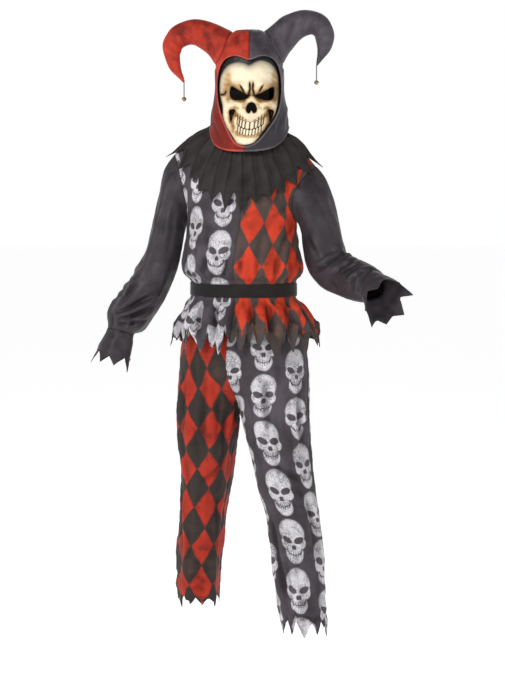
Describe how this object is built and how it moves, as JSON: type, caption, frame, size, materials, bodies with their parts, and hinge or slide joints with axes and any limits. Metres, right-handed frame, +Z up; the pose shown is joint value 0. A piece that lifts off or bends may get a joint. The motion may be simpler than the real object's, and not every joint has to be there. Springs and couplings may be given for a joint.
{
  "type": "jester costume",
  "caption": "Jester costume in a standing pose: parti-coloured tunic and trousers, dagged ruff and cuffs, belt, and a horned hood with hanging bells and a plain skull mask.",
  "frame": {"origin": "between the wearer's shoulders, at the height where the shoulders carry the costume", "axes": "+Z is up, the costume faces -Y, and +X is towards the wearer's left"},
  "size_m": [0.9158, 0.4967, 1.7733],
  "materials": {
    "red": "smooth red costume satin with a soft sheen",
    "charcoal": "dark grey crinkled satin with a soft sheen",
    "black": "matt black woven cloth",
    "harlequin": "satin printed with smudged red lozenges on dark brown",
    "skull_print": "satin printed with rows of pale skulls on dark grey",
    "bone": "moulded mask painted as aged bone",
    "gilt": "dull gilt metal",
    "twine": "thin twisted cord"
  },
  "bodies": {
    "root": {"hood_right": "red", "hood_left": "charcoal", "horn_right": "red", "horn_left": "charcoal", "mask": "bone", "eye_gauze": "black", "ruff": "black", "tunic_front_right": "skull_print", "tunic_back_right": "skull_print", "tunic_front_left": "harlequin", "tunic_back_left": "harlequin", "sleeve_right": "charcoal", "sleeve_left": "charcoal", "cuff_right": "charcoal", "cuff_left": "charcoal", "belt": "black", "waistband": "black", "leg_right_front": "harlequin", "leg_right_back": "harlequin", "leg_left_front": "skull_print", "leg_left_back": "skull_print", "bell_right": "gilt", "bell_left": "gilt", "bell_cord_right": "twine", "bell_cord_left": "twine"}
  },
  "joints": []
}
